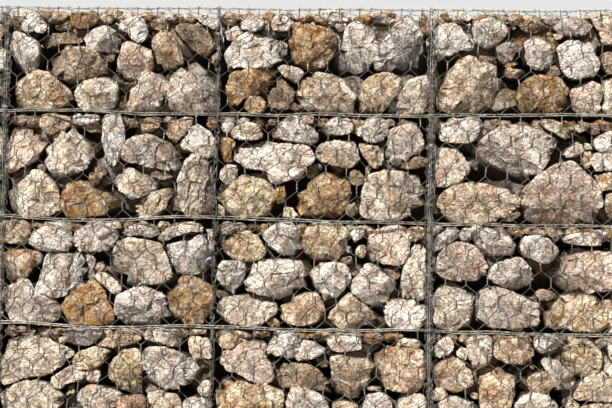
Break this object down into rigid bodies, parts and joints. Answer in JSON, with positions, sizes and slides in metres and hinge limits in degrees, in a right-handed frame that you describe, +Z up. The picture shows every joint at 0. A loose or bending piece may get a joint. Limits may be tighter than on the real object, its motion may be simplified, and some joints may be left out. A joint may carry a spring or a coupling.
{
  "type": "gabion wall",
  "caption": "Stone-filled retaining wall of stacked wire-mesh baskets with laced edges, flat base and open hexagonal mesh front.",
  "frame": {"origin": "middle of the underside, on the ground line", "axes": "+X along the wall to the viewer's right, +Y from the meshed front face back into the bank, +Z up"},
  "size_m": [4, 1, 2],
  "materials": {
    "broken_stone": "rough broken limestone, buff, grey and ochre",
    "mesh_wire": "weathered galvanised steel wire",
    "selvedge_wire": "weathered galvanised steel wire, thicker"
  },
  "bodies": {
    "root": {"back_mesh_course_1": "mesh_wire", "back_mesh_course_2": "mesh_wire", "back_mesh_course_3": "mesh_wire", "back_mesh_course_4": "mesh_wire", "base_mesh": "mesh_wire", "basket_frame_course_1_left": "selvedge_wire", "basket_frame_course_1_middle": "selvedge_wire", "basket_frame_course_1_right": "selvedge_wire", "basket_frame_course_2_left": "selvedge_wire", "basket_frame_course_2_middle": "selvedge_wire", "basket_frame_course_2_right": "selvedge_wire", "basket_frame_course_3_left": "selvedge_wire", "basket_frame_course_3_middle": "selvedge_wire", "basket_frame_course_3_right": "selvedge_wire", "basket_frame_course_4_left": "selvedge_wire", "basket_frame_course_4_middle": "selvedge_wire", "basket_frame_course_4_right": "selvedge_wire", "diaphragms": "selvedge_wire", "front_mesh_course_1_left": "mesh_wire", "front_mesh_course_1_middle": "mesh_wire", "front_mesh_course_1_right": "mesh_wire", "front_mesh_course_2_left": "mesh_wire", "front_mesh_course_2_middle": "mesh_wire", "front_mesh_course_2_right": "mesh_wire", "front_mesh_course_3_left": "mesh_wire", "front_mesh_course_3_middle": "mesh_wire", "front_mesh_course_3_right": "mesh_wire", "front_mesh_course_4_left": "mesh_wire", "front_mesh_course_4_middle": "mesh_wire", "front_mesh_course_4_right": "mesh_wire", "left_end_mesh": "mesh_wire", "lid_mesh": "mesh_wire", "right_end_mesh": "mesh_wire", "stone_fill_course_1_left": "broken_stone", "stone_fill_course_1_middle": "broken_stone", "stone_fill_course_1_right": "broken_stone", "stone_fill_course_2_left": "broken_stone", "stone_fill_course_2_middle": "broken_stone", "stone_fill_course_2_right": "broken_stone", "stone_fill_course_3_left": "broken_stone", "stone_fill_course_3_middle": "broken_stone", "stone_fill_course_3_right": "broken_stone", "stone_fill_course_4_left": "broken_stone", "stone_fill_course_4_middle": "broken_stone", "stone_fill_course_4_right": "broken_stone"}
  },
  "joints": []
}
